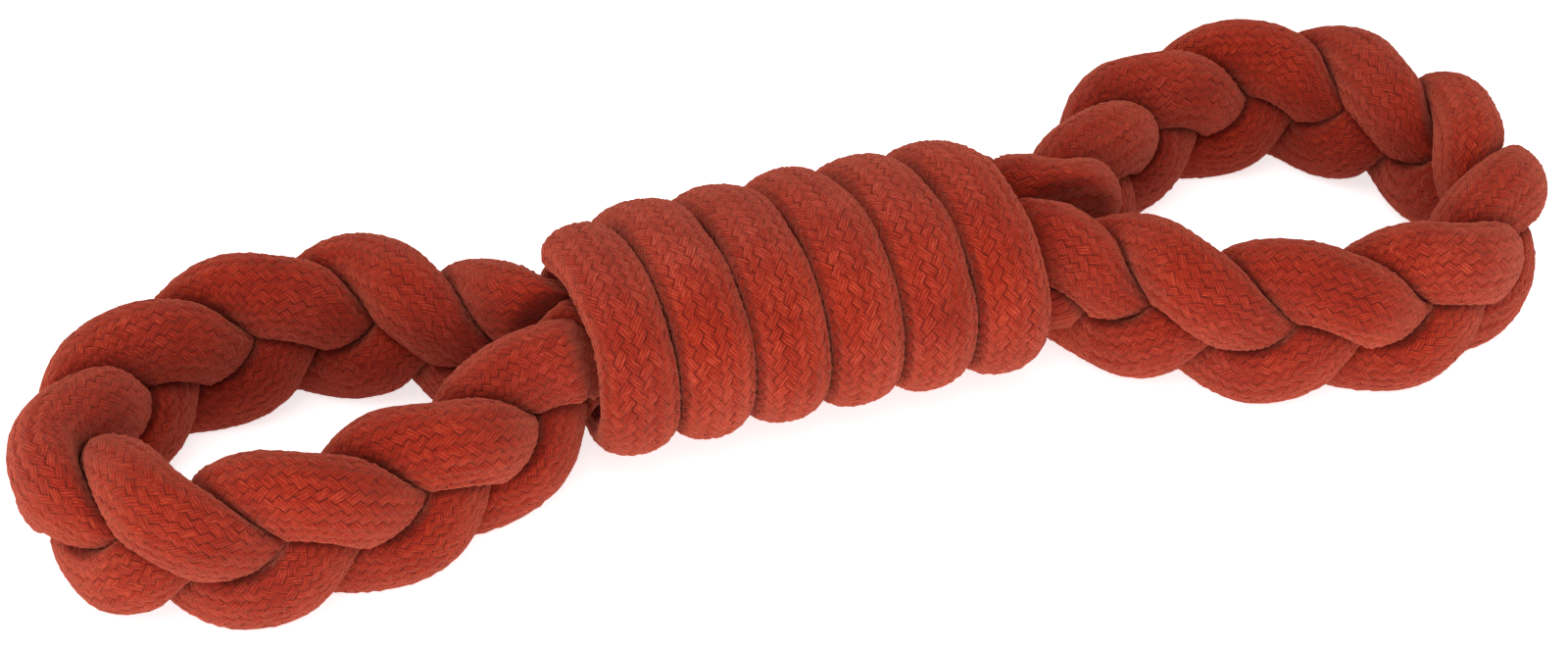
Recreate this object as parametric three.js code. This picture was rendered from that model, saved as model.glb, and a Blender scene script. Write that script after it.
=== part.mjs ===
// A rope dog toy: three soft cotton ropes plaited into one long ring, the ring pinched in the
// middle into two loops, and a fourth rope wound round both passes of the plait as a grip.
// Millimetres, +Z up. The toy lies along X on a surface at Z 0, with the origin on that surface
// under the middle of its outline.

import * as THREE from "three";

// The rope: a braided cotton sheath over a loose cotton core.
const ROPE_DIAMETER = 20;
const SHEATH_WALL_SHARE = 0.12; // of the rope's diameter
const CORE_GAP_SHARE = 0.02;
const ROPE_GAP = 1.6; // left between plaited ropes that press on each other
const TURN_GAP = 0.9; // left between the turns of the winding, and under them
const BUTT_GAP = 1.4; // left between rope ends that meet inside the grip

// How soft rope gives, as shares of its diameter.
const PLAIT_FLAT_SHARE = 0.93; // thickness where plaited ropes cross
const PLAIT_SPREAD_SHARE = 1.15; // width there
const WINDING_FLAT_SHARE = 0.65; // thickness of the winding on the plait
const WINDING_SPREAD_SHARE = 0.92; // width of a turn between its neighbours
const FLOOR_PRESS_SHARE = 0.1; // how deep the rope lies pressed flat on the surface
const PRESS_SHARPNESS = 8; // how squarely a round side turns into a pressed one
const THIN_WALL_SHARE = 0.5; // the most of a pressed rope's half width that its sheath takes
const THIN_GAP_SHARE = 0.12;

// The plait: each rope sways up and down once a period, and in and out twice.
const HEIGHT_SWAY_SHARE = 0.56; // of the rope's diameter, to each side
const DEPTH_SWAY_SHARE = 0.23;
const GRIP_HEIGHT_SWAY_SHARE = 0.34; // the same inside the grip
const GRIP_DEPTH_SWAY_SHARE = 0.22;
const MIDDLE_SPREAD_SHARE = 0.78; // how far out in the grip's room a rope's middle gets
const CREST_SPACING = 34.4; // between rope crests along the plait's top edge
const FIRST_CREST = 45; // from the middle of the grip's near side to the first crest after it

// The grip: the winding and the room that it leaves for the two passes.
const NEAR_PASSES = 6;
const GRIP_ROOM_HALF_WIDTH = 20.2;
const GRIP_ROOM_HALF_HEIGHT = 14.9;
const MOUTH_FLARE_SHARE = 0.3; // of the winding's half thickness, at its edge
const GRIP_MIDDLE = -4.5; // the middle of the near passes, along X
const TURN_LEAN_SHARE = 0.13; // how far along a turn is ahead at its top, of the turns' spacing
const START_TURN = 0.21; // where the winding leaves its straight start, counted from the far side
const END_TURN = 6.06;
const END_LENGTH_SHARE = 0.25; // of the rope's diameter that each end runs straight
const END_REACH_SHARE = 0.07; // of a turn that each straight end reaches along
const TUCK_TURN = 0.2; // the stretch over which each end draws in under its neighbour
const TUCK_SHARE = 0.06; // how far, as a share of the winding's half width and height

// The ring seen from above: the middle line of the plait.
const LEFT_LOOP_LENGTH = 136; // from the grip to the far end of the loop
const RIGHT_LOOP_LENGTH = 137;
const LEFT_LOOP_HALF_WIDTH = 37;
const RIGHT_LOOP_HALF_WIDTH = 49;
const LOOP_LENGTH_SHARES = [0.13, 0.42, 0.8, 1, 0.8, 0.42, 0.13];
const LEFT_LOOP_WIDTH_SHARES = [-0.34, -0.9, -1, -0.17, 0.78, 0.97, 0.22];
const RIGHT_LOOP_WIDTH_SHARES = [0.15, 0.91, 1, -0.08, -0.9, -0.86, -0.28];

// Facets.
const PLAIT_SIDES = 8;
const PLAIT_STEPS_PER_CREST = 6;
const NEIGHBOUR_STEPS_PER_CREST = 14;
const ROUTE_STEPS_PER_POINT = 40;
const REACH_STEPS = 80;
const WINDING_STEPS_PER_TURN = 24;

const FULL_TURN = 2 * Math.PI;
const sheathWall = ROPE_DIAMETER * SHEATH_WALL_SHARE;
const coreInset = sheathWall + ROPE_DIAMETER * CORE_GAP_SHARE;
const floorPress = ROPE_DIAMETER * FLOOR_PRESS_SHARE;
const plaitHalfDepth = (ROPE_DIAMETER * PLAIT_FLAT_SHARE) / 2;
const plaitHalfHeight = (ROPE_DIAMETER * PLAIT_SPREAD_SHARE) / 2;
const facetHeight = plaitHalfHeight * Math.cos(Math.PI / PLAIT_SIDES);
const plaitMiddleHeight = ROPE_DIAMETER * HEIGHT_SWAY_SHARE + facetHeight - floorPress;

const turnHalfThickness = (ROPE_DIAMETER * WINDING_FLAT_SHARE) / 2;
const turnHalfWidth = (ROPE_DIAMETER * WINDING_SPREAD_SHARE) / 2;
const turnPitch = 2 * turnHalfWidth + TURN_GAP;
const windingHalfWidth = GRIP_ROOM_HALF_WIDTH + TURN_GAP + turnHalfThickness;
const windingHalfHeight = GRIP_ROOM_HALF_HEIGHT + TURN_GAP + turnHalfThickness;
const gripMiddleHeight = windingHalfHeight + turnHalfThickness - floorPress;
const gripHalfLength = (NEAR_PASSES * turnPitch) / 2 - ROPE_DIAMETER / 3;

const smooth = THREE.MathUtils.smoothstep;
const mix = THREE.MathUtils.lerp;
const count = (n) => [...Array(n).keys()];

// Where the winding's middle is along X after so many turns from its far side. It climbs less
// on the near side than on the far side.
function turnPlace(turn) {
  const ahead = TURN_LEAN_SHARE * Math.sin(FULL_TURN * turn);
  return GRIP_MIDDLE + turnPitch * (turn - NEAR_PASSES / 2 + ahead);
}

// The turn that passes a direction from the grip's middle at the winding's left or right mouth,
// its straight ends included.
function mouthTurn(side, y, z) {
  const passed = Math.atan2(z / windingHalfHeight, y / windingHalfWidth) / FULL_TURN;
  const first = START_TURN - END_REACH_SHARE;
  const last = END_TURN + END_REACH_SHARE;
  if (side < 0) return first + THREE.MathUtils.euclideanModulo(passed - first, 1);
  return last - THREE.MathUtils.euclideanModulo(last - passed, 1);
}

// The winding's mouths, where its outermost turns cross the near side and the far side.
const mouths = {
  nearLeft: turnPlace(1 / 2),
  nearRight: turnPlace(NEAR_PASSES - 1 / 2),
  farLeft: turnPlace(mouthTurn(-1, 1, 0)),
  farRight: turnPlace(mouthTurn(1, 1, 0)),
};

// The ring's middle line, clockwise from above, starting at the near right mouth.
function ringRoute() {
  const passOffset = (GRIP_ROOM_HALF_WIDTH + ROPE_GAP / 2) / 2;
  const pass = (from, to, side) =>
    count(4).map((i) => new THREE.Vector3(mix(from, to, i / 3), side * passOffset, 0));
  const loop = (side, length, halfWidth, widthShares) =>
    LOOP_LENGTH_SHARES.map((share, i) => {
      const x = side * (gripHalfLength + share * length);
      return new THREE.Vector3(x, halfWidth * widthShares[i], 0);
    });
  const points = [
    ...pass(mouths.nearRight, mouths.nearLeft, -1),
    ...loop(-1, LEFT_LOOP_LENGTH, LEFT_LOOP_HALF_WIDTH, LEFT_LOOP_WIDTH_SHARES),
    ...pass(mouths.farLeft, mouths.farRight, 1),
    ...loop(1, RIGHT_LOOP_LENGTH, RIGHT_LOOP_HALF_WIDTH, RIGHT_LOOP_WIDTH_SHARES),
  ];
  const curve = new THREE.CatmullRomCurve3(points, true, "centripetal");
  curve.arcLengthDivisions = ROUTE_STEPS_PER_POINT * points.length;
  return curve;
}

const route = ringRoute();
const ringLength = route.getLength();
const crestCount = Math.round(ringLength / CREST_SPACING);
const crestSpacing = ringLength / crestCount;

// How far along X a point lies outside the winding's mouth at its end and side.
function beyondMouth(x, y) {
  const near = y < 0;
  if (x < 0) return (near ? mouths.nearLeft : mouths.farLeft) - x;
  return x - (near ? mouths.nearRight : mouths.farRight);
}

// The winding's oval inside so far beyond its mouth. It flares as the outermost turn rounds
// off, and is narrower where the winding's ends draw in.
function windingRoom(beyond) {
  const outside = Math.max(beyond, 0) / turnHalfWidth;
  const flare = MOUTH_FLARE_SHARE * turnHalfThickness * outside ** 4;
  const drawn = TUCK_SHARE * smooth(beyond, -ROPE_DIAMETER, 0);
  return {
    halfWidth: GRIP_ROOM_HALF_WIDTH - drawn * windingHalfWidth + flare,
    halfHeight: GRIP_ROOM_HALF_HEIGHT - drawn * windingHalfHeight + flare,
  };
}

// The middle of one plaited rope at a distance along the ring from the middle of the grip's
// near side, and the ring's outward direction there.
function ropeMiddle(rope, distance) {
  const fromStart = distance + mouths.nearRight;
  const share = THREE.MathUtils.euclideanModulo(fromStart / ringLength, 1);
  const middle = route.getPointAt(share);
  const along = route.getTangentAt(share);
  const outward = new THREE.Vector3(-along.y, along.x, 0).normalize();
  const beyond = beyondMouth(middle.x, middle.y);
  const loose = smooth(beyond, -turnHalfWidth, ROPE_DIAMETER);
  const low = smooth(beyond, 0, 2 * ROPE_DIAMETER);
  const heightSway = ROPE_DIAMETER * mix(GRIP_HEIGHT_SWAY_SHARE, HEIGHT_SWAY_SHARE, loose);
  const depthSway = ROPE_DIAMETER * mix(GRIP_DEPTH_SWAY_SHARE, DEPTH_SWAY_SHARE, loose);
  const crests = (distance - FIRST_CREST) / crestSpacing + rope;
  const phase = (FULL_TURN * crests) / 3 + FULL_TURN / 4;
  middle.addScaledVector(outward, depthSway * Math.sin(2 * phase));
  middle.z = mix(gripMiddleHeight, plaitMiddleHeight, low) + heightSway * Math.sin(phase);
  if (beyond < ROPE_DIAMETER) {
    const room = windingRoom(beyond - turnPitch / 4);
    const offCentre = middle.z - gripMiddleHeight;
    const spread = Math.hypot(middle.y / room.halfWidth, offCentre / room.halfHeight);
    const kept = Math.min(1, MIDDLE_SPREAD_SHARE / spread);
    middle.y *= kept;
    middle.z = gripMiddleHeight + offCentre * kept;
  }
  return { middle, outward };
}

// A rope's cross sections: the middle of each and the two directions that span it.
function sectionAxes(middles, outwards) {
  return middles.map((middle, i) => {
    const before = middles[Math.max(i - 1, 0)];
    const after = middles[Math.min(i + 1, middles.length - 1)];
    const along = after.clone().sub(before).normalize();
    const across = outwards[i].clone();
    across.addScaledVector(along, -across.dot(along)).normalize();
    return { middle, across, up: new THREE.Vector3().crossVectors(along, across) };
  });
}

// How far a ray from one rope's middle gets before it is nearer to a point of another rope's
// middle line, less half the gap between them.
function reachToNeighbour(middle, direction, neighbour) {
  const between = neighbour.clone().sub(middle);
  const toward = between.dot(direction) + ROPE_GAP;
  if (toward <= 0) return Infinity;
  return (between.lengthSq() - ROPE_GAP * ROPE_GAP) / (2 * toward);
}

// How far it gets to the plane between the two passes, in and near the grip.
function reachToOtherPass(middle, direction) {
  const toward = -direction.y * Math.sign(middle.y);
  if (toward <= 0 || Math.abs(middle.x) > 2 * gripHalfLength) return Infinity;
  return (Math.abs(middle.y) - ROPE_GAP / 2) / toward;
}

// How far it gets before it meets the winding, whose mouths step forward round the grip as its
// turns climb.
function reachToWinding(middle, direction) {
  if (beyondMouth(middle.x, middle.y) > 2 * ROPE_DIAMETER) return Infinity;
  const side = Math.sign(middle.x - GRIP_MIDDLE);
  const meets = (reach) => {
    const point = middle.clone().addScaledVector(direction, reach);
    const up = point.z - gripMiddleHeight;
    const beyond = side * (point.x - turnPlace(mouthTurn(side, point.y, up)));
    const room = windingRoom(beyond);
    return beyond < ROPE_DIAMETER && Math.hypot(point.y / room.halfWidth, up / room.halfHeight) > 1;
  };
  const reaches = count(REACH_STEPS).map((i) => (ROPE_DIAMETER * (i + 1)) / REACH_STEPS);
  return reaches.find(meets) ?? Infinity;
}

// One plaited rope's outline at each step, as far as its neighbours let it spread.
function plaitedSections(rope) {
  const stepCount = 2 * Math.round((crestCount * PLAIT_STEPS_PER_CREST) / 2);
  const length = ringLength - BUTT_GAP;
  const distances = count(stepCount + 1).map((i) => BUTT_GAP / 2 + (length * i) / stepCount);
  const places = distances.map((distance) => ropeMiddle(rope, distance));
  const outwards = places.map((place) => place.outward);
  const axes = sectionAxes(places.map((place) => place.middle), outwards);
  const span = 2 * NEIGHBOUR_STEPS_PER_CREST;
  return axes.map(({ middle, across, up }, i) => {
    const neighbours = count(2 * span + 1).flatMap((k) => {
      const distance = distances[i] + ((k - span) * crestSpacing) / NEIGHBOUR_STEPS_PER_CREST;
      return [1, 2].map((other) => ropeMiddle(rope + other, distance).middle);
    });
    const points = count(PLAIT_SIDES).map((side) => {
      const angle = (FULL_TURN * (side + 1 / 2)) / PLAIT_SIDES;
      const direction = across.clone().multiplyScalar(Math.cos(angle));
      direction.addScaledVector(up, Math.sin(angle));
      const free =
        1 / Math.hypot(Math.cos(angle) / plaitHalfDepth, Math.sin(angle) / plaitHalfHeight);
      const pressed = Math.min(
        reachToOtherPass(middle, direction),
        reachToWinding(middle, direction),
        ...neighbours.map((neighbour) => reachToNeighbour(middle, direction, neighbour)),
      );
      const squared = free ** -PRESS_SHARPNESS + pressed ** -PRESS_SHARPNESS;
      return { direction, reach: squared ** (-1 / PRESS_SHARPNESS) };
    });
    return { middle, points };
  });
}

// The winding's middle line: an oval helix whose two ends draw in, then run straight.
function windingMiddles() {
  const turns = END_TURN - START_TURN;
  const stepCount = 2 * Math.round((turns * WINDING_STEPS_PER_TURN) / 2);
  const turned = count(stepCount + 1).map((i) => {
    const turn = START_TURN + (turns * i) / stepCount;
    const fromEnd = Math.min(turn - START_TURN, END_TURN - turn);
    const drawn = 1 - TUCK_SHARE * (1 - smooth(fromEnd, 0, TUCK_TURN));
    const angle = FULL_TURN * turn;
    const y = windingHalfWidth * drawn * Math.cos(angle);
    const z = gripMiddleHeight + windingHalfHeight * drawn * Math.sin(angle);
    return new THREE.Vector3(turnPlace(turn), y, z);
  });
  const straight = (end, inner) => {
    const along = end.clone().sub(inner).normalize();
    return [1 / 2, 1].map((share) =>
      end.clone().addScaledVector(along, share * END_LENGTH_SHARE * ROPE_DIAMETER),
    );
  };
  const start = straight(turned[0], turned[1]).reverse();
  return [...start, ...turned, ...straight(turned[stepCount], turned[stepCount - 1])];
}

// The winding's outline at each step: six sides, with a flat one outside, one on the plait, and
// an edge toward each of its own next turns.
function windingSections() {
  const middles = windingMiddles();
  const outwards = middles.map(({ y, z }) => {
    const slopeY = y / windingHalfWidth ** 2;
    return new THREE.Vector3(0, slopeY, (z - gripMiddleHeight) / windingHalfHeight ** 2);
  });
  const cornerShares = [
    [1, -1 / 2],
    [1, 1 / 2],
    [0, 1],
    [-1, 1 / 2],
    [-1, -1 / 2],
    [0, -1],
  ];
  return sectionAxes(middles, outwards).map(({ middle, across, up }) => {
    const points = cornerShares.map(([thick, wide]) => {
      const direction = across.clone().multiplyScalar(thick * turnHalfThickness);
      direction.addScaledVector(up, wide * turnHalfWidth);
      const reach = direction.length();
      return { direction: direction.normalize(), reach };
    });
    return { middle, points };
  });
}

// The corners of three nested outlines at a section: the sheath's outside, its bore, and the
// core, which both keep to the tightest of the sections on either side. None goes below the
// surface, and each keeps its own height above it.
function nestedOutlines(section, i, sections) {
  const nearby = sections.slice(Math.max(i - 1, 0), i + 2);
  const outline = (inset, share, used) =>
    section.points.map(({ direction }, side) => {
      const reach = Math.min(...used.map(({ points }) => points[side].reach));
      const drawn = Math.max(reach - inset, reach * share);
      const room = direction.z < 0 ? (inset - section.middle.z) / direction.z : Infinity;
      const corner = section.middle.clone().addScaledVector(direction, Math.min(drawn, room));
      corner.z = Math.max(corner.z, inset);
      return corner;
    });
  const boreShare = 1 - THIN_WALL_SHARE;
  return [
    outline(0, 1, [section]),
    outline(sheathWall, boreShare, nearby),
    outline(coreInset, boreShare - THIN_GAP_SHARE, nearby),
  ];
}

// A closed body swept through rings of corners: solid, or with a bore from end to end. Its
// outside and its bore are split along the same diagonals, so nested bodies keep clear.
function sweptBody(outer, bore) {
  const positions = [];
  const quad = (a, b, c, d) =>
    [a, b, c, a, c, d].forEach((corner) => positions.push(corner.x, corner.y, corner.z));
  const sides = outer[0].length;
  const wrapped = (side) => side % sides;
  const skin = (rings, inward) => {
    for (const side of count(sides)) {
      const next = wrapped(side + 1);
      for (const i of count(rings.length - 1)) {
        const [near, far] = [rings[i], rings[i + 1]];
        if (inward) quad(far[next], near[next], near[side], far[side]);
        else quad(near[side], near[next], far[next], far[side]);
      }
    }
  };
  skin(outer, false);
  const last = outer[outer.length - 1];
  if (bore) {
    skin(bore, true);
    const boreLast = bore[bore.length - 1];
    for (const side of count(sides)) {
      const next = wrapped(side + 1);
      quad(outer[0][next], outer[0][side], bore[0][side], bore[0][next]);
      quad(last[side], last[next], boreLast[next], boreLast[side]);
    }
  } else {
    for (let side = 1; side < sides - 1; side += 2) {
      quad(outer[0][wrapped(side + 2)], outer[0][side + 1], outer[0][side], outer[0][0]);
      quad(last[0], last[side], last[side + 1], last[wrapped(side + 2)]);
    }
  }
  const geometry = new THREE.BufferGeometry();
  geometry.setAttribute("position", new THREE.Float32BufferAttribute(positions, 3));
  geometry.computeVertexNormals();
  return geometry;
}

const sheathMaterial = new THREE.MeshStandardMaterial({ color: 0xa83a28, roughness: 0.95, metalness: 0 });
const coreMaterial = new THREE.MeshStandardMaterial({ color: 0xc9b79c, roughness: 1, metalness: 0 });
const toy = new THREE.Group();

// A rope's two pieces. The bore and the core follow every second section.
function addRope(name, sections) {
  const nested = sections.map(nestedOutlines);
  const outer = nested.map((outlines) => outlines[0]);
  const [bore, core] = [1, 2].map((layer) =>
    nested.filter((_, i) => i % 2 === 0).map((outlines) => outlines[layer]),
  );
  const sheathMesh = new THREE.Mesh(sweptBody(outer, bore), sheathMaterial);
  sheathMesh.name = name + "_sheath";
  const coreMesh = new THREE.Mesh(sweptBody(core), coreMaterial);
  coreMesh.name = name + "_core";
  toy.add(sheathMesh, coreMesh);
  return outer;
}

["plait_rope_a", "plait_rope_b", "plait_rope_c"].forEach((name, rope) => {
  addRope(name, plaitedSections(rope));
});
const windingOutline = addRope("winding_rope", windingSections());

// The least gap between the winding's turns, on the corners of its outline.
let leastGap = Infinity;
windingOutline.forEach((ring, i) => {
  const others = windingOutline.slice(i + WINDING_STEPS_PER_TURN / 2).flat();
  for (const corner of ring) {
    for (const other of others) leastGap = Math.min(leastGap, corner.distanceTo(other));
  }
});
console.log("least gap of the winding to itself, mm:", leastGap.toFixed(2));

// The origin goes under the middle of the outline.
const outline = new THREE.Box3().setFromObject(toy);
const middle = outline.getCenter(new THREE.Vector3());
toy.position.set(-middle.x, -middle.y, 0);

export default toy;
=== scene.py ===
# The rope dog toy, dressed as soft braided cotton: three ropes plaited into a ring with two
# loops, and a fourth rope wound round its middle. Lengths are in millimetres up to the meshes.

import math

import bpy
import numpy as np
from mathutils import Matrix, Vector


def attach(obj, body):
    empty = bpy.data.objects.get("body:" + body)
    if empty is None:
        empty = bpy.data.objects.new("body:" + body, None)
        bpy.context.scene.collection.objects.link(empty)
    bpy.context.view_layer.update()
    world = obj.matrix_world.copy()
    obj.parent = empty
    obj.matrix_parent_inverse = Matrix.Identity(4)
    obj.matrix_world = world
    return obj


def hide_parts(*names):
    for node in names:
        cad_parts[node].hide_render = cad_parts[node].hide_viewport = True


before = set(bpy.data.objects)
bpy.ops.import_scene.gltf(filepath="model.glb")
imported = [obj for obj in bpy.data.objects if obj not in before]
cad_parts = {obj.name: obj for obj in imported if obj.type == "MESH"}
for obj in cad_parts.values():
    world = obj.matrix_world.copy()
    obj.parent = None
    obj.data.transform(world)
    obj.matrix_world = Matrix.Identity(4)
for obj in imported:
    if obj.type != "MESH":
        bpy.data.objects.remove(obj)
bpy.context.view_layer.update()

METRES = 0.001
FULL_TURN = 2 * math.pi
TINY = 1e-6  # kept under a divisor that could be zero

# The rope.
ROPE_DIAMETER = 20
PLAITED_ROPES = 3
PASS_GAP = 1.6  # between the two passes' shares of the grip's room
ROPE_GAP = 0.3  # left between plaited ropes that press on each other
TURN_GAP = 0.9  # left between the turns of the winding, and under them
TURN_GAP_FILLED = 0.45  # the share of that gap that each turn's soft side takes up
BUTT_GAP = 1.4  # left between rope ends that meet inside the grip

# How soft rope gives, as shares of its diameter.
PLAIT_FLAT_SHARE = 0.93  # thickness where plaited ropes cross
PLAIT_SPREAD_SHARE = 1.15  # width there
WINDING_FLAT_SHARE = 0.65  # thickness of the winding on the plait
WINDING_SPREAD_SHARE = 0.92  # width of a turn between its neighbours
FLOOR_PRESS_SHARE = 0.1  # how deep the rope lies pressed flat on the surface

# How its cross section takes shape.
SOLID_SIDES = 8  # of the plain solid's section, whose flat side rests on the surface
PRESS_SHARPNESS = 7  # how squarely a round side turns into a pressed one
TURN_SQUARENESS = 2.1  # of the winding's cross section: 2 is an ellipse
INWARD_SPREAD_SHARE = 0.4  # how much further a rope gives toward the middle of the plait
INWARD_MESH = 1.2  # how deep the ropes' loose yarns mesh there

# The plait: each rope sways up and down once a period, and in and out twice.
HEIGHT_SWAY_SHARE = 0.56  # of the rope's diameter, to each side
DEPTH_SWAY_SHARE = 0.23
GRIP_HEIGHT_SWAY_SHARE = 0.34  # the same inside the grip
GRIP_DEPTH_SWAY_SHARE = 0.22
MIDDLE_SPREAD_SHARE = 0.78  # how far out in the grip's room a rope's middle gets
CREST_SPACING = 34.4  # between rope crests along the plait's top edge
FIRST_CREST = 45  # from the middle of the grip's near side to the first crest after it

# The grip: the winding and the room that it leaves for the two passes.
NEAR_PASSES = 6
GRIP_ROOM_HALF_WIDTH = 20.2
GRIP_ROOM_HALF_HEIGHT = 14.9
MOUTH_FLARE_SHARE = 0.3  # of the winding's half thickness, at its edge
MOUTH_FLARE_POWER = 4  # how suddenly the mouth flares there
GRIP_MIDDLE = -4.5  # the middle of the near passes, along X
TURN_LEAN_SHARE = 0.13  # how far along a turn is ahead at its top, of the turns' spacing
START_TURN = 0.21  # where the winding leaves its straight start, counted from the far side
START_REACH = 0.045  # of a turn that its start lies further round than the grip's mouth
END_TURN = 6.06
END_LENGTH_SHARE = 0.1  # of the rope's diameter that each end runs straight
END_REACH_SHARE = 0.07  # of a turn that each straight end reaches along
TUCK_TURN = 0.2  # the stretch over which each end draws in under its neighbour
TUCK_SHARE = 0.06  # how far, as a share of the winding's half width and height
TIP_LENGTH = 6  # over which each end of the winding rounds off
TIP_START_SHARE = 0.002  # of that length, where the tip's first section lies

# The ring seen from above: the middle line of the plait.
LEFT_LOOP_LENGTH = 136  # from the grip to the far end of the loop
RIGHT_LOOP_LENGTH = 137
LEFT_LOOP_HALF_WIDTH = 37
RIGHT_LOOP_HALF_WIDTH = 49
LOOP_LENGTH_SHARES = [0.13, 0.42, 0.8, 1, 0.8, 0.42, 0.13]
LEFT_LOOP_WIDTH_SHARES = [-0.34, -0.9, -1, -0.17, 0.78, 0.97, 0.22]
RIGHT_LOOP_WIDTH_SHARES = [0.15, 0.91, 1, -0.08, -0.9, -0.86, -0.28]
OUTLINE_MIDDLE = (0.81, 2.25)  # the middle of the outline, in the ring's own lengths

# The braid of the sheath: bundles of yarn that cross over two and under two.
PLAIT_BUNDLES = 22  # that lean each way round a plaited rope
WINDING_BUNDLES = 18
BRAID_ANGLE = 43  # degrees between a bundle and the rope
YARNS = 3  # side by side in a bundle
BUNDLE_RELIEF = 0.34  # how far a bundle's crown stands out of the gaps between bundles
BUNDLE_ROUNDNESS = 0.5  # the power that rounds its relief: 1 is a plain wave
MEAN_RELIEF_SHARE = 0.6  # of that relief, where the rope's mean surface is
PAINTED_SHADE_DEPTH = 2.2  # how close to its neighbour a rope's surface gets painted shade, darkest at the crease

# The rope's slow unevenness, to each side, and the fine roughness that lint gives it.
LUMP_HEIGHT = 0.25
LUMP_LENGTH = 26
LUMP_WAVES = 16
LUMP_FINENESS = (0.6, 1.5)  # of the coarsest wave and the finest, where the usual one has 1
LUMP_CHANCE = 1
LINT_HEIGHT = 0.1
LINT_CHANCE = 3

# Fineness of the meshes.
SIDES = 96
PLAIT_STEPS_PER_CREST = 38
NEIGHBOUR_STEPS_PER_CREST = 24
ROUTE_POINTS_IN_GRIP = 4  # of each pass
ROUTE_STEPS_PER_POINT = 80
TANGENT_STEP = 1
REACH_STEPS = 120
WINDING_STEPS_PER_TURN = 164
STRAIGHT_STEPS = 8
BAKE_MARGIN = 1 / 128  # kept free round each strip of the map for baking

# Noise of the cotton and the paper: waves in a metre, or in the pattern's own unit for streaks
# and fibres, then octaves and roughness.
DRIFT_NOISE = (160, 3, 0.5)  # sideways, of the bundles that lean one way
SWAY_NOISE = (110, 3, 0.6)  # and of those that lean the other way
STREAK_NOISE = (1, 3, 0.6)
FIBRE_NOISE = (1, 2, 0.6)
SLACK_NOISE = (360, 3, 0.6)
LINT_NOISE = (1900, 3, 0.7)
PATCH_NOISE = (45, 3, 0.55)
WORN_NOISE = (30, 2, 0.5)
PAPER_NOISE = (900, 3, 0.5)

# The patterns of the braid, in bundle widths.
WANDER = 0.55  # how far a bundle drifts or sways
STREAK_FINENESS = (7, 1.1, 9.7)  # across a bundle, along the rope, from bundle to bundle
FIBRE_FINENESS = (22, 2, 5.3)
YARN_WAVER = 0.4  # how far the furrows between yarns follow the streaks
EDGE_POWER = 8  # how narrow the rim along a bundle's sides is, sunk and darkened with painted shade
SLOPE_POWER = 4  # how narrow the stretch is where a bundle dives
SLIT_POWER = 14  # and the slit that it dives into
FURROW_POWER = 1.6
SLIT_OPENING = (5.6, 0.65)  # how much the slack opens a slit, and its usual opening
OTHER_BUNDLES = 40  # the first number of the bundles that lean the other way
OWN_TONE_LENGTH = 4  # after which a bundle takes another tone of its own
OWN_TONE_STEP = 61  # from one of these lengths to the next, in the count of tones

# How much each pattern adds to the cotton's relief and to its tone.
RELIEF_SHARES = {
    "edge": -0.12,
    "slope": -0.4,
    "slit": -0.55,
    "furrow": -0.34,
    "streak": 0.3,
    "fibre": 0.35,
    "slack": 0.5,
    "lint": 0.25,
}
TONE_SHARES = {
    # The negative edge, slope, slit and furrow shares paint shade into the braid's gaps.
    "edge": -0.05,
    "slope": -0.1,
    "slit": -0.68,
    "furrow": -0.22,
    "streak": 0.44,
    "fibre": 0.8,
    "lint": 0.5,
    "own": 0.07,
    "patch": 0.3,
    # painted shade in the creases between ropes and between turns
    "painted_crease_shade": -0.22,
}
RELIEF_STRENGTH = 0.75
RELIEF_HEIGHT = 0.5
PLAIT_LIGHTNESS = 0.655  # of the dyed yarn, from 0 for its darkest tone to 1 for its palest
WINDING_LIGHTNESS = 0.685

# The dye: its tones from the darkest to the palest, and their colours when fresh and faded.
DYE_TONES = (0, 0.35, 0.65, 1)
FRESH_DYE = (
    (0.05, 0.0025, 0.0015),
    (0.155, 0.0065, 0.0025),
    (0.33, 0.019, 0.0065),
    (0.66, 0.088, 0.035),
)
FADED_DYE = (
    (0.052, 0.0035, 0.0025),
    (0.155, 0.0095, 0.005),
    (0.33, 0.0265, 0.0135),
    (0.66, 0.125, 0.073),
)
PALER_TOP_HEIGHTS = (0.044, 0.056)  # metres over which the grip turns paler and pinker toward its top
PALER_TOP_SHARE = 0.7  # how far its very top is taken toward the paler, pinker tones by that
WORN_SHARE = (2.6, -1)  # of the noise, and what is added, to give how faded each patch is

# The cotton's gloss and fuzz.
ROUGHNESS = 0.92
ROUGHNESS_SPREAD = 0.16  # from fibre to fibre
SPECULAR_LEVEL = 0.12
SHEEN = 0.75
SHEEN_ROUGHNESS = 0.45
SHEEN_TINT = (1, 0.26, 0.16)

# The photograph's view.
CAMERA_AIM = (-7.6, -3.36, 20)
CAMERA_AZIMUTH = -20.2
CAMERA_ELEVATION = 37.9
CAMERA_ROLL = 0.6
CAMERA_DISTANCE = 796
CAMERA_LENS = 72.93
CAMERA_SIGHT = 20  # metres, how far it sees
SENSOR_WIDTH = 36

# The studio, in metres and watts: each lamp's place, width and height, and power.
FLOOR_HALF = 4.0
PAPER_TONES = (0.91, 0.93)
FLOOR_LIGHT = 0.4  # that the floor, a light table, sheds on the toy
FLOOR_GLOW = 0.7  # the same where the camera sees the floor, to show it white
WORLD_LIGHT = 0.75  # of full white
KEY_LAMP = ((-0.9, -1.3, 0.3), (1.5, 0.5), 12.3)
TOP_LAMP = ((-0.4, -0.3, 1.8), (1.6, 1.0), 8.5)

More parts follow.
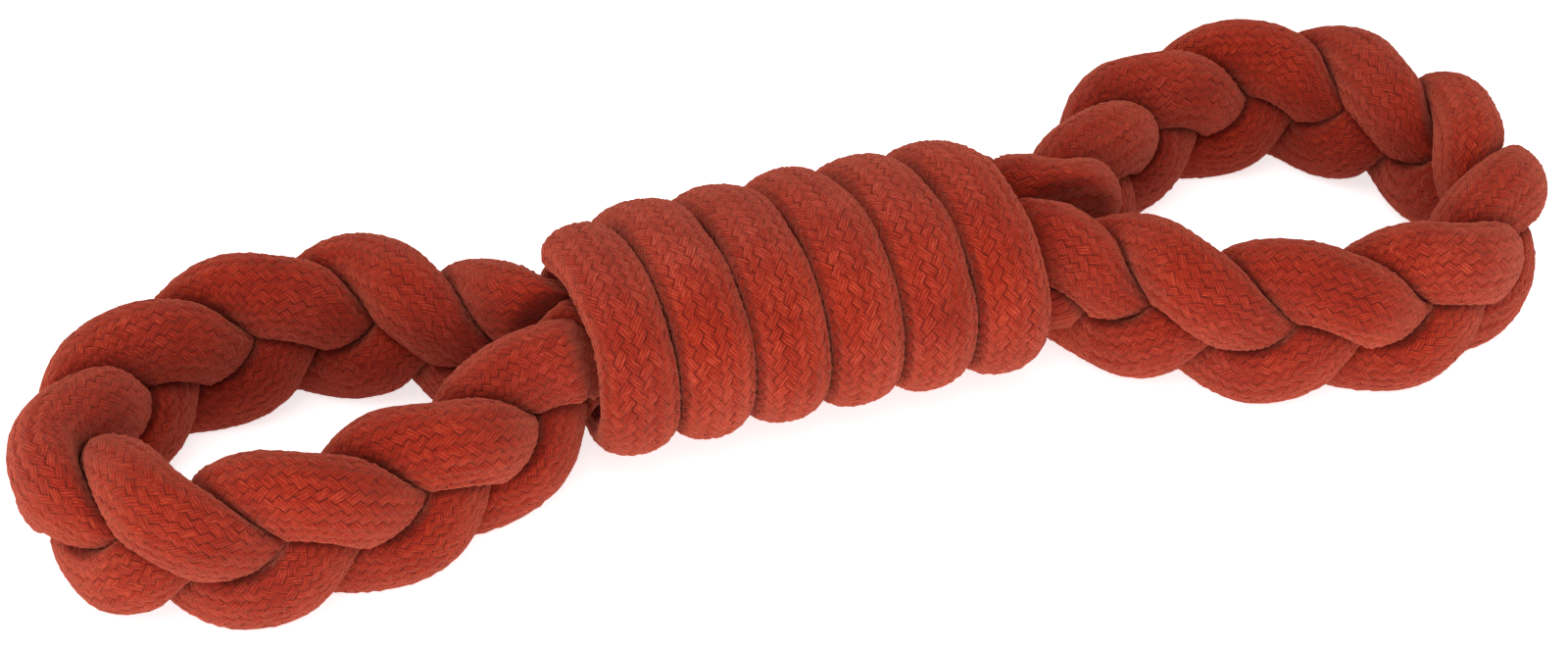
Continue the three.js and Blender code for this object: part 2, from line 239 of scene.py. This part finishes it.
plait_half_depth = ROPE_DIAMETER * PLAIT_FLAT_SHARE / 2
plait_half_height = ROPE_DIAMETER * PLAIT_SPREAD_SHARE / 2
floor_press = ROPE_DIAMETER * FLOOR_PRESS_SHARE
facet_height = plait_half_height * math.cos(math.pi / SOLID_SIDES)
plait_middle_height = ROPE_DIAMETER * HEIGHT_SWAY_SHARE + facet_height - floor_press
turn_half_thickness = ROPE_DIAMETER * WINDING_FLAT_SHARE / 2
turn_half_width = ROPE_DIAMETER * WINDING_SPREAD_SHARE / 2
turn_pitch = 2 * turn_half_width + TURN_GAP
winding_half_width = GRIP_ROOM_HALF_WIDTH + TURN_GAP + turn_half_thickness
winding_half_height = GRIP_ROOM_HALF_HEIGHT + TURN_GAP + turn_half_thickness
grip_middle_height = winding_half_height + turn_half_thickness - floor_press
grip_half_length = NEAR_PASSES * turn_pitch / 2 - ROPE_DIAMETER / 3


def smooth(value, start, end):
    """0 up to the start and 1 from the end, with a soft rise between them."""
    share = np.clip((value - start) / (end - start), 0, 1)
    return share * share * (3 - 2 * share)


def mix(low, high, share):
    return low + (high - low) * share


def unit(vectors):
    return vectors / np.linalg.norm(vectors, axis=-1, keepdims=True)


def lengths_passed(points):
    return np.r_[0, np.cumsum(np.linalg.norm(np.diff(points, axis=0), axis=1))]


def turn_place(turn):
    """Where the winding is along X after so many turns from its far side."""
    ahead = TURN_LEAN_SHARE * np.sin(FULL_TURN * turn)
    return GRIP_MIDDLE + turn_pitch * (turn - NEAR_PASSES / 2 + ahead)


def mouth_turn(side, y, z):
    """The turn that passes a direction from the grip's middle at the left or right mouth."""
    passed = np.arctan2(z / winding_half_height, y / winding_half_width) / FULL_TURN
    first = START_TURN - END_REACH_SHARE
    last = END_TURN + END_REACH_SHARE
    return np.where(side < 0, first + (passed - first) % 1, last - (last - passed) % 1)


near_left, near_right = turn_place(1 / 2), turn_place(NEAR_PASSES - 1 / 2)
far_left, far_right = (turn_place(float(mouth_turn(side, 1.0, 0.0))) for side in (-1, 1))


def ring_route():
    """The ring's middle line, clockwise from above, starting at the near right mouth."""
    pass_offset = (GRIP_ROOM_HALF_WIDTH + PASS_GAP / 2) / 2
    in_grip = np.arange(ROUTE_POINTS_IN_GRIP) / (ROUTE_POINTS_IN_GRIP - 1)

    def straight(start, end, side):
        return [(mix(start, end, share), side * pass_offset) for share in in_grip]

    def loop(side, length, half_width, width_shares):
        reach = [side * (grip_half_length + share * length) for share in LOOP_LENGTH_SHARES]
        return list(zip(reach, [half_width * share for share in width_shares]))

    points = np.array(
        straight(near_right, near_left, -1)
        + loop(-1, LEFT_LOOP_LENGTH, LEFT_LOOP_HALF_WIDTH, LEFT_LOOP_WIDTH_SHARES)
        + straight(far_left, far_right, 1)
        + loop(1, RIGHT_LOOP_LENGTH, RIGHT_LOOP_HALF_WIDTH, RIGHT_LOOP_WIDTH_SHARES)
    )
    share = (np.arange(ROUTE_STEPS_PER_POINT) / ROUTE_STEPS_PER_POINT)[:, None]
    pieces = []
    for i in range(len(points)):
        a, b, c, d = (points[(i + k) % len(points)] for k in (-1, 0, 1, 2))
        ab, bc, cd = (math.sqrt(math.dist(p, q)) for p, q in ((a, b), (b, c), (c, d)))
        start = ((b - a) / ab - (c - a) / (ab + bc) + (c - b) / bc) * bc
        end = ((c - b) / bc - (d - b) / (bc + cd) + (d - c) / cd) * bc
        square = -3 * b + 3 * c - 2 * start - end
        cube = 2 * b - 2 * c + start + end
        pieces.append(b + start * share + square * share**2 + cube * share**3)
    line = np.vstack([*pieces, points[:1]])
    return line, lengths_passed(line)


route_line, route_passed = ring_route()
ring_length = route_passed[-1]
crest_count = round(ring_length / CREST_SPACING)
crest_spacing = ring_length / crest_count


def route_point(distance):
    place = distance % ring_length
    return np.stack([np.interp(place, route_passed, route_line[:, k]) for k in (0, 1)], 1)


def beyond_mouth(x, y):
    """How far along X a point lies outside the winding's mouth at its end and side."""
    left = np.where(y < 0, near_left, far_left) - x
    right = x - np.where(y < 0, near_right, far_right)
    return np.where(x < 0, left, right)


def winding_room(beyond):
    """The winding's oval inside so far beyond its mouth."""
    flare = np.maximum(beyond, 0) / turn_half_width
    flare = MOUTH_FLARE_SHARE * turn_half_thickness * flare**MOUTH_FLARE_POWER
    drawn = TUCK_SHARE * smooth(beyond, -ROPE_DIAMETER, 0)
    half_width = GRIP_ROOM_HALF_WIDTH - drawn * winding_half_width + flare
    half_height = GRIP_ROOM_HALF_HEIGHT - drawn * winding_half_height + flare
    return half_width, half_height


def rope_middle(rope, distance):
    """The middle of a plaited rope at distances along the ring, and the ring's outward
    directions there."""
    from_start = distance + near_right
    flat = route_point(from_start)
    ahead, behind = route_point(from_start + TANGENT_STEP), route_point(from_start - TANGENT_STEP)
    tangent = unit(ahead - behind)
    outward = np.stack([-tangent[:, 1], tangent[:, 0], 0 * from_start], 1)
    beyond = beyond_mouth(flat[:, 0], flat[:, 1])
    loose = smooth(beyond, -turn_half_width, ROPE_DIAMETER)
    low = smooth(beyond, 0, 2 * ROPE_DIAMETER)
    height_sway = ROPE_DIAMETER * mix(GRIP_HEIGHT_SWAY_SHARE, HEIGHT_SWAY_SHARE, loose)
    depth_sway = ROPE_DIAMETER * mix(GRIP_DEPTH_SWAY_SHARE, DEPTH_SWAY_SHARE, loose)
    crests = (distance - FIRST_CREST) / crest_spacing + rope
    phase = FULL_TURN * crests / PLAITED_ROPES + FULL_TURN / 4
    offset = depth_sway * np.sin(2 * phase)
    x = flat[:, 0] + outward[:, 0] * offset
    y = flat[:, 1] + outward[:, 1] * offset
    z = mix(grip_middle_height, plait_middle_height, low) + height_sway * np.sin(phase)
    half_width, half_height = winding_room(beyond - turn_pitch / 4)
    off_centre = z - grip_middle_height
    spread = np.hypot(y / half_width, off_centre / half_height)
    kept = np.minimum(1, MIDDLE_SPREAD_SHARE / spread)
    inside = beyond < ROPE_DIAMETER
    y = np.where(inside, y * kept, y)
    z = np.where(inside, grip_middle_height + off_centre * kept, z)
    return np.stack([x, y, z], 1), outward


def section_rays(middles, outwards):
    """The angles round a rope's cross sections, and the directions that they point in."""
    along = unit(np.gradient(middles, axis=0))
    across = unit(outwards - (outwards * along).sum(1, keepdims=True) * along)
    up = np.cross(along, across)
    angles = FULL_TURN * np.arange(SIDES) / SIDES
    cosine, sine = np.cos(angles)[None, :, None], np.sin(angles)[None, :, None]
    return angles, cosine * across[:, None] + sine * up[:, None]


def reach_to_winding(middles, directions):
    """How far each ray gets before it meets the winding."""
    reach = np.full(directions.shape[:2], np.inf)
    near = beyond_mouth(middles[:, 0], middles[:, 1]) <= 2 * ROPE_DIAMETER
    start = middles[near][:, None]
    side = np.sign(start[..., 0] - GRIP_MIDDLE)
    found = reach[near]
    for step in range(REACH_STEPS, 0, -1):
        length = ROPE_DIAMETER * step / REACH_STEPS
        point = start + directions[near] * length
        up = point[..., 2] - grip_middle_height
        beyond = side * (point[..., 0] - turn_place(mouth_turn(side, point[..., 1], up)))
        half_width, half_height = winding_room(beyond)
        outside = np.hypot(point[..., 1] / half_width, up / half_height) > 1
        found = np.where((beyond < ROPE_DIAMETER) & outside, length, found)
    reach[near] = found
    return reach


def reach_to_ropes(rope, distances, middles, directions):
    """How far each ray gets before it meets the plait's other pass or another plaited rope."""
    toward = -directions[..., 1] * np.sign(middles[:, 1:2])
    near = (toward > 0) & (np.abs(middles[:, :1]) < 2 * grip_half_length)
    to_plane = np.abs(middles[:, 1:2]) - ROPE_GAP / 2
    reach = np.where(near, to_plane / np.maximum(toward, TINY), np.inf)
    span = 2 * NEIGHBOUR_STEPS_PER_CREST
    for k in range(-span, span + 1):
        offset = k * crest_spacing / NEIGHBOUR_STEPS_PER_CREST
        for other in range(1, PLAITED_ROPES):
            between = rope_middle(rope + other, distances + offset)[0] - middles
            toward = np.einsum("nmk,nk->nm", directions, between) + ROPE_GAP
            square = (between**2).sum(1, keepdims=True) - ROPE_GAP**2
            halfway = np.where(toward > 0, square / (2 * np.maximum(toward, TINY)), np.inf)
            reach = np.minimum(reach, halfway)
    return reach


def plaited_rope(rope):
    """One plaited rope's surface, as far as its neighbours let it spread: the middles of its
    sections, their rays, how far each ray reaches and how much painted crease shade it gets there."""
    steps = crest_count * PLAIT_STEPS_PER_CREST
    distances = np.linspace(BUTT_GAP / 2, ring_length - BUTT_GAP / 2, steps + 1)
    middles, outwards = rope_middle(rope, distances)
    angles, directions = section_rays(middles, outwards)
    free = 1 / np.hypot(np.cos(angles) / plait_half_depth, np.sin(angles) / plait_half_height)
    others = [rope_middle(rope + other, distances)[0] for other in range(1, PLAITED_ROPES)]
    to_others = unit(sum(others) - len(others) * middles)
    inward = np.clip(np.einsum("nmk,nk->nm", directions, to_others), 0, 1)
    free = free * (1 + INWARD_SPREAD_SHARE * inward**2)
    beside = reach_to_ropes(rope, distances, middles, directions) + INWARD_MESH * inward
    pressed = np.minimum(beside, reach_to_winding(middles, directions))
    reach = (free**-PRESS_SHARPNESS + pressed**-PRESS_SHARPNESS) ** (-1 / PRESS_SHARPNESS)
    # Painted shade: the surface darkens as it nears the crease against another rope.
    painted_crease_shade = 1 - smooth(beside - reach, 0, PAINTED_SHADE_DEPTH)
    return middles, directions, reach, painted_crease_shade


def winding_rope():
    """The winding's surface, as for a plaited rope: an oval helix whose two ends draw in, then
    run straight and round off."""
    start_turn = START_TURN - START_REACH
    steps = round((END_TURN - start_turn) * WINDING_STEPS_PER_TURN)
    turn = np.linspace(start_turn, END_TURN, steps + 1)
    from_end = np.minimum(turn - start_turn, END_TURN - turn)
    drawn = 1 - TUCK_SHARE * (1 - smooth(from_end, 0, TUCK_TURN))
    y = winding_half_width * drawn * np.cos(FULL_TURN * turn)
    z = grip_middle_height + winding_half_height * drawn * np.sin(FULL_TURN * turn)
    turned = np.stack([turn_place(turn), y, z], 1)
    reached = np.arange(1, STRAIGHT_STEPS + 1)[:, None] / STRAIGHT_STEPS
    reached = reached * END_LENGTH_SHARE * ROPE_DIAMETER
    start = turned[0] + unit(turned[0] - turned[1]) * reached
    end = turned[-1] + unit(turned[-1] - turned[-2]) * reached
    middles = np.vstack([start[::-1], turned, end])
    slope_y = middles[:, 1] / winding_half_width**2
    slope_z = (middles[:, 2] - grip_middle_height) / winding_half_height**2
    angles, directions = section_rays(middles, np.stack([0 * slope_y, slope_y, slope_z], 1))
    width = np.abs(np.sin(angles)) / (turn_half_width + TURN_GAP * TURN_GAP_FILLED)
    thickness = np.abs(np.cos(angles)) / turn_half_thickness
    reach = (width**TURN_SQUARENESS + thickness**TURN_SQUARENESS) ** (-1 / TURN_SQUARENESS)
    passed = lengths_passed(middles)
    from_tip = np.minimum(passed, passed[-1] - passed) / TIP_LENGTH
    rounded = np.sqrt(1 - (1 - np.clip(from_tip, TIP_START_SHARE, 1)) ** 2)
    reach = reach * rounded[:, None]
    toward_end = directions[..., 0] > 0
    place = np.interp(passed, passed[STRAIGHT_STEPS : -STRAIGHT_STEPS], turn)[:, None]
    has_neighbour = np.where(toward_end, place < END_TURN - 1, place > start_turn + 1)
    to_neighbour = turn_pitch / 2 - reach * np.abs(directions[..., 0])
    # Painted shade: a turn's side darkens as it nears the crease against the next turn.
    painted_crease_shade = np.where(has_neighbour, 1 - smooth(to_neighbour, 0, PAINTED_SHADE_DEPTH), 0)
    return middles, directions, reach, painted_crease_shade


def braid_height(along, around):
    """The braid's relief, 0 in the gaps and 1 on the crowns, smoothed for the mesh."""
    first, second = around + along, around - along
    cell = (np.floor(first) + np.floor(second)) % 4
    leans = cell >= 2
    across = np.where(leans, second % 1, first % 1)
    passed = np.where(leans, cell - 2 + first % 1, cell + second % 1)
    crown = np.sin(math.pi * across) ** BUNDLE_ROUNDNESS
    return crown * np.sin(math.pi * passed / 2) ** BUNDLE_ROUNDNESS


def lumps(points):
    """Smooth unevenness, about -1 to 1, of points in space."""
    chance = np.random.default_rng(LUMP_CHANCE)
    heading = unit(chance.normal(size=(LUMP_WAVES, 3))) * FULL_TURN / LUMP_LENGTH
    heading *= chance.uniform(*LUMP_FINENESS, (LUMP_WAVES, 1))
    start = chance.uniform(0, FULL_TURN, LUMP_WAVES)
    waves = (np.sin(points @ way + at) for way, at in zip(heading, start))
    return sum(waves) / math.sqrt(LUMP_WAVES)


def rope_mesh(name, bundles, middles, directions, reach, painted_crease_shade):
    """A closed mesh through the sections, with one map for the braid and one for baking."""
    skin = middles[:, None] + directions * reach[..., None]
    edges = np.linalg.norm(np.roll(skin, -1, 1) - skin, axis=2)
    around = np.cumsum(np.c_[np.zeros(len(edges)), edges], 1)
    girth = around[:, -1:]
    around = bundles * around / girth
    passed = lengths_passed(middles)
    along = passed * bundles * math.tan(math.radians(BRAID_ANGLE)) / girth.mean()
    relief = braid_height(along[:, None], around[:, :-1]) - MEAN_RELIEF_SHARE
    relief = BUNDLE_RELIEF * relief + LUMP_HEIGHT * lumps(skin)
    relief += LINT_HEIGHT * np.random.default_rng(LINT_CHANCE).normal(size=relief.shape)
    skin = skin + directions * (relief * np.minimum(1, reach / turn_half_thickness))[..., None]
    skin[..., :2] -= OUTLINE_MIDDLE
    skin[..., 2] = np.maximum(skin[..., 2], 0)

    count, sides = skin.shape[:2]
    points = np.vstack([skin.reshape(-1, 3), skin[[0, -1]].mean(1)]) * METRES
    i, side = np.meshgrid(np.arange(count - 1), np.arange(sides), indexing="ij")
    corners = [(i, side), (i, side + 1), (i + 1, side + 1), (i + 1, side)]
    quads = np.stack([step * sides + place % sides for step, place in corners], -1)
    ring = np.arange(sides)
    after = (ring + 1) % sides
    last = (count - 1) * sides
    first_pole, last_pole = count * sides, count * sides + 1
    start_fan = np.stack([ring, np.full(sides, first_pole), after], 1)
    end_fan = np.stack([last + ring, last + after, np.full(sides, last_pole)], 1)
    faces = quads.reshape(-1, 4).tolist() + start_fan.tolist() + end_fan.tolist()
    mesh = bpy.data.meshes.new(name)
    mesh.from_pydata(points.tolist(), [], faces)
    # The painted crease shade goes on the mesh, for the material to read.
    painted_shade_layer = mesh.attributes.new("PaintedCreaseShade", "FLOAT", "POINT")
    painted_shade_layer.data.foreach_set("value", np.concatenate([painted_crease_shade.ravel(), [0, 0]]))

    rows = max(1, round(math.sqrt(passed[-1] / girth.mean())))
    row_steps = math.ceil((count - 1) / rows)
    row = i // row_steps

    def in_margins(share):
        return mix(BAKE_MARGIN, 1 - BAKE_MARGIN, share)

    def baked(step, place):
        share = in_margins((step - row * row_steps) / row_steps)
        height = (row + in_margins(place / sides)) / rows
        return np.stack([share, in_margins(height)], -1)

    braid = np.stack([np.stack([along[s], around[s, p]], -1) for s, p in corners], 2)
    bake = np.stack([baked(s, p) for s, p in corners], 2)
    fan = np.array([[0, 0], [1, 0], [0, 1]])
    for title, places, fan_size in (("Braid", braid, 1 / 2), ("OFBake", bake, BAKE_MARGIN**2)):
        places = [places.reshape(-1, 2), np.tile(fan * fan_size, (2 * sides, 1))]
        layer = mesh.uv_layers.new(name=title)
        layer.data.foreach_set("uv", np.vstack(places).ravel())
    mesh.polygons.foreach_set("use_smooth", np.ones(len(mesh.polygons), bool))
    mesh.update()
    return mesh


class Nodes:
    """The node tree of a material or a world, with short calls for the nodes that it uses."""

    def __init__(self, owner):
        owner.use_nodes = True
        self.tree = owner.node_tree
        shaders = ("BSDF_PRINCIPLED", "BACKGROUND")
        self.shader = next(node for node in self.tree.nodes if node.type in shaders)

    def add(self, kind, values=(), **settings):
        node = self.tree.nodes.new(kind)
        for key, value in settings.items():
            setattr(node, key, value)
        for place, value in enumerate(values):
            self.put(node.inputs[place], value)
        return node

    def put(self, socket, value):
        if isinstance(value, bpy.types.NodeSocket):
            self.tree.links.new(value, socket)
        else:
            socket.default_value = value

    def put_named(self, node, **values):
        """Values for inputs whose names are given with _ for each space."""
        for name, value in values.items():
            self.put(node.inputs[name.replace("_", " ")], value)

    def math(self, operation, *values):
        return self.add("ShaderNodeMath", values, operation=operation).outputs[0]

    def plus(self, *values):
        total = values[0]
        for value in values[1:]:
            total = self.math("ADD", total, value)
        return total

    def times(self, a, b):
        return self.math("MULTIPLY", a, b)

    def mixed(self, a, b, share):
        return self.plus(a, self.times(self.math("SUBTRACT", b, a), share))

    def noise(self, place, scale, detail, roughness):
        """Noise about zero."""
        node = self.add("ShaderNodeTexNoise")
        self.put_named(node, Vector=place, Scale=scale, Detail=detail, Roughness=roughness)
        return self.plus(node.outputs["Fac"], -1 / 2)

    def place(self, *coordinates):
        return self.add("ShaderNodeCombineXYZ", coordinates).outputs[0]

    def ramp(self, share, stops, colours):
        node = self.add("ShaderNodeValToRGB", (share,))
        elements = node.color_ramp.elements
        while len(elements) < len(stops):
            elements.new(1)
        for element, stop, colour in zip(elements, stops, colours):
            element.position = stop
            element.color = (*colour, 1)
        return node.outputs[0]


def cotton_braid(bundles, lightness):
    """Dyed cotton yarn, braided over two and under two: bundles, yarns, fibres and fuzz."""
    material = bpy.data.materials.new("cotton_braid")
    n = Nodes(material)
    uv = n.add("ShaderNodeUVMap", uv_map="Braid").outputs[0]
    along, around = n.add("ShaderNodeSeparateXYZ", (uv,)).outputs[:2]
    place = n.add("ShaderNodeTexCoord").outputs["Object"]

    # Which bundle lies on top: how far across it, and how far along from where it dives.
    drift = n.times(n.noise(place, *DRIFT_NOISE), WANDER)
    sway = n.times(n.noise(place, *SWAY_NOISE), WANDER)
    first = n.plus(around, along, drift)
    second = n.plus(n.math("SUBTRACT", around, along), sway)
    first_part, second_part = n.math("FRACT", first), n.math("FRACT", second)
    first_bundle, second_bundle = n.math("FLOOR", first), n.math("FLOOR", second)
    cell = n.math("FLOORED_MODULO", n.plus(first_bundle, second_bundle), 4)
    leans = n.math("GREATER_THAN", cell, 3 / 2)
    across = n.mixed(first_part, second_part, leans)
    passed = n.plus(n.mixed(second_part, first_part, leans), cell, n.times(leans, -2))
    bundle = n.mixed(
        n.math("FLOORED_MODULO", first_bundle, bundles),
        n.plus(n.math("FLOORED_MODULO", second_bundle, bundles), OTHER_BUNDLES),
        leans,
    )

    def along_bundle(across_fineness, along_fineness, bundle_step):
        return n.place(
            n.times(across, across_fineness),
            n.times(along, along_fineness),
            n.times(bundle, bundle_step),
        )

    from_middle = n.math("ABSOLUTE", n.plus(n.times(across, 2), -1))
    from_crown = n.math("ABSOLUTE", n.plus(passed, -1))
    streak = n.noise(along_bundle(*STREAK_FINENESS), *STREAK_NOISE)
    waver = n.times(streak, YARN_WAVER)
    yarn = n.math("SINE", n.times(n.plus(across, waver), math.pi * YARNS))
    between_yarns = n.math("SUBTRACT", 1, n.math("ABSOLUTE", yarn))
    fibre = n.noise(along_bundle(*FIBRE_FINENESS), *FIBRE_NOISE)
    slack = n.noise(place, *SLACK_NOISE)
    opened = n.math("MULTIPLY_ADD", slack, *SLIT_OPENING)
    own = n.add("ShaderNodeTexWhiteNoise", noise_dimensions="1D")
    stretch = n.math("FLOOR", n.times(along, 1 / OWN_TONE_LENGTH))
    n.put_named(own, W=n.plus(bundle, n.times(stretch, OWN_TONE_STEP)))
    patterns = {
        "edge": n.math("POWER", from_middle, EDGE_POWER),
        "slope": n.math("POWER", from_crown, SLOPE_POWER),
        "slit": n.times(n.math("POWER", from_crown, SLIT_POWER), opened),
        "furrow": n.math("POWER", between_yarns, FURROW_POWER),
        "streak": streak,
        "fibre": fibre,
        "slack": slack,
        "lint": n.noise(place, *LINT_NOISE),
        "own": n.plus(own.outputs["Value"], -1 / 2),
        "patch": n.noise(place, *PATCH_NOISE),
        # painted shade in the creases between ropes, read from the mesh
        "painted_crease_shade": n.add("ShaderNodeAttribute", attribute_name="PaintedCreaseShade").outputs["Fac"],
    }

    def together(shares):
        return n.plus(*(n.times(patterns[name], share) for name, share in shares.items()))

    bump = n.add("ShaderNodeBump")
    height = together(RELIEF_SHARES)
    n.put_named(bump, Strength=RELIEF_STRENGTH, Distance=RELIEF_HEIGHT * METRES, Height=height)

    # Painted shade darkens the tone in the braid's gaps and in the creases between ropes.
    tone = n.plus(lightness, together(TONE_SHARES))
    # Paler and pinker toward the grip's top, by height alone.
    height_above = n.add("ShaderNodeSeparateXYZ", (place,)).outputs[2]
    in_range = (height_above, *PALER_TOP_HEIGHTS, 0, PALER_TOP_SHARE)
    paler_top = n.add("ShaderNodeMapRange", in_range).outputs[0]
    worn = n.math("MULTIPLY_ADD", n.plus(n.noise(place, *WORN_NOISE), 1 / 2), *WORN_SHARE)
    blend = n.add("ShaderNodeMix", data_type="RGBA")
    fresh = n.ramp(tone, DYE_TONES, FRESH_DYE)
    faded = n.ramp(tone, DYE_TONES, FADED_DYE)
    factor, fresh_colour, faded_colour = blend.inputs[0], blend.inputs[6], blend.inputs[7]
    n.put(factor, n.plus(worn, paler_top))
    n.put(fresh_colour, fresh)
    n.put(faded_colour, faded)
    n.put_named(
        n.shader,
        Base_Color=blend.outputs[2],
        Normal=bump.outputs[0],
        Roughness=n.plus(ROUGHNESS, n.times(fibre, ROUGHNESS_SPREAD)),
        Specular_IOR_Level=SPECULAR_LEVEL,
        Sheen_Weight=SHEEN,
        Sheen_Roughness=SHEEN_ROUGHNESS,
        Sheen_Tint=(*SHEEN_TINT, 1),
    )
    return material


def seen_directly(n):
    """1 where the camera sees a place itself, in a mirror or through glass."""
    path = n.add("ShaderNodeLightPath").outputs
    mirrored = n.math("MAXIMUM", path["Is Glossy Ray"], path["Is Transmission Ray"])
    return n.math("MAXIMUM", path["Is Camera Ray"], mirrored)


def pale_floor():
    """White paper on a light table: it takes the toy's soft shadow, and is plain white to the
    camera elsewhere."""
    material = bpy.data.materials.new("pale_floor")
    n = Nodes(material)
    grain = n.noise(n.add("ShaderNodeTexCoord").outputs["Object"], *PAPER_NOISE)
    greys = [(tone, tone, tone) for tone in PAPER_TONES]
    n.put_named(
        n.shader,
        Base_Color=n.ramp(n.plus(grain, 1 / 2), (0, 1), greys),
        Roughness=1,
        Specular_IOR_Level=0,
        Emission_Color=(1, 1, 1, 1),
        Emission_Strength=n.mixed(FLOOR_LIGHT, FLOOR_GLOW, seen_directly(n)),
    )
    return material


def studio_world():
    """A white backdrop that lights the toy less strongly than it shows."""
    world = bpy.data.worlds.new("studio")
    n = Nodes(world)
    strength = n.mixed(WORLD_LIGHT, 1, seen_directly(n))
    n.put_named(n.shader, Color=(1, 1, 1, 1), Strength=strength)
    return world


def link(obj):
    bpy.context.scene.collection.objects.link(obj)
    return obj


def soft_lamp(name, place, size, power):
    """A rectangular lamp that faces the toy."""
    lamp = bpy.data.lights.new(name, "AREA")
    lamp.shape = "RECTANGLE"
    lamp.size, lamp.size_y = size
    lamp.energy = power
    obj = link(bpy.data.objects.new(name, lamp))
    turned = Vector(place).to_track_quat("Z", "Y").to_matrix().to_4x4()
    obj.matrix_world = Matrix.Translation(place) @ turned


def camera():
    """The camera of the photograph's view."""
    angles = (CAMERA_AZIMUTH, CAMERA_ELEVATION, CAMERA_ROLL)
    azimuth, elevation, roll = (math.radians(angle) for angle in angles)
    level = Vector((math.sin(azimuth), -math.cos(azimuth), 0))
    back = level * math.cos(elevation) + Vector((0, 0, math.sin(elevation)))
    right = Vector((math.cos(azimuth), math.sin(azimuth), 0))
    up = back.cross(right)
    turned_right = right * math.cos(roll) + up * math.sin(roll)
    turned_up = up * math.cos(roll) - right * math.sin(roll)
    lens = bpy.data.cameras.new("camera")
    lens.lens = CAMERA_LENS
    lens.sensor_width = SENSOR_WIDTH
    lens.clip_end = CAMERA_SIGHT
    obj = link(bpy.data.objects.new("camera", lens))
    aim = Vector(CAMERA_AIM) - Vector((*OUTLINE_MIDDLE, 0))
    eye = (aim + back * CAMERA_DISTANCE) * METRES
    axes = Matrix((turned_right, turned_up, back)).transposed()
    obj.matrix_world = Matrix.Translation(eye) @ axes.to_4x4()
    bpy.context.scene.camera = obj


camera()

plait_cotton = cotton_braid(PLAIT_BUNDLES, PLAIT_LIGHTNESS)
winding_cotton = cotton_braid(WINDING_BUNDLES, WINDING_LIGHTNESS)
ropes = [
    ("plait_rope_a", plaited_rope(0), PLAIT_BUNDLES, plait_cotton),
    ("plait_rope_b", plaited_rope(1), PLAIT_BUNDLES, plait_cotton),
    ("plait_rope_c", plaited_rope(2), PLAIT_BUNDLES, plait_cotton),
    ("winding_rope", winding_rope(), WINDING_BUNDLES, winding_cotton),
]
for name, surface, bundles, cotton in ropes:
    mesh = rope_mesh(name, bundles, *surface)
    mesh.materials.append(cotton)
    piece = link(bpy.data.objects.new(name, mesh))
    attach(piece, "root")
    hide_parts(name + "_sheath", name + "_core")

signs = [(-1, -1), (1, -1), (1, 1), (-1, 1)]
floor_mesh = bpy.data.meshes.new("floor")
floor_mesh.from_pydata([(x * FLOOR_HALF, y * FLOOR_HALF, 0) for x, y in signs], [], [(0, 1, 2, 3)])
floor_mesh.materials.append(pale_floor())
link(bpy.data.objects.new("floor", floor_mesh))

bpy.context.scene.world = studio_world()
soft_lamp("key", *KEY_LAMP)
soft_lamp("top", *TOP_LAMP)

bpy.context.scene.view_settings.view_transform = "Standard"
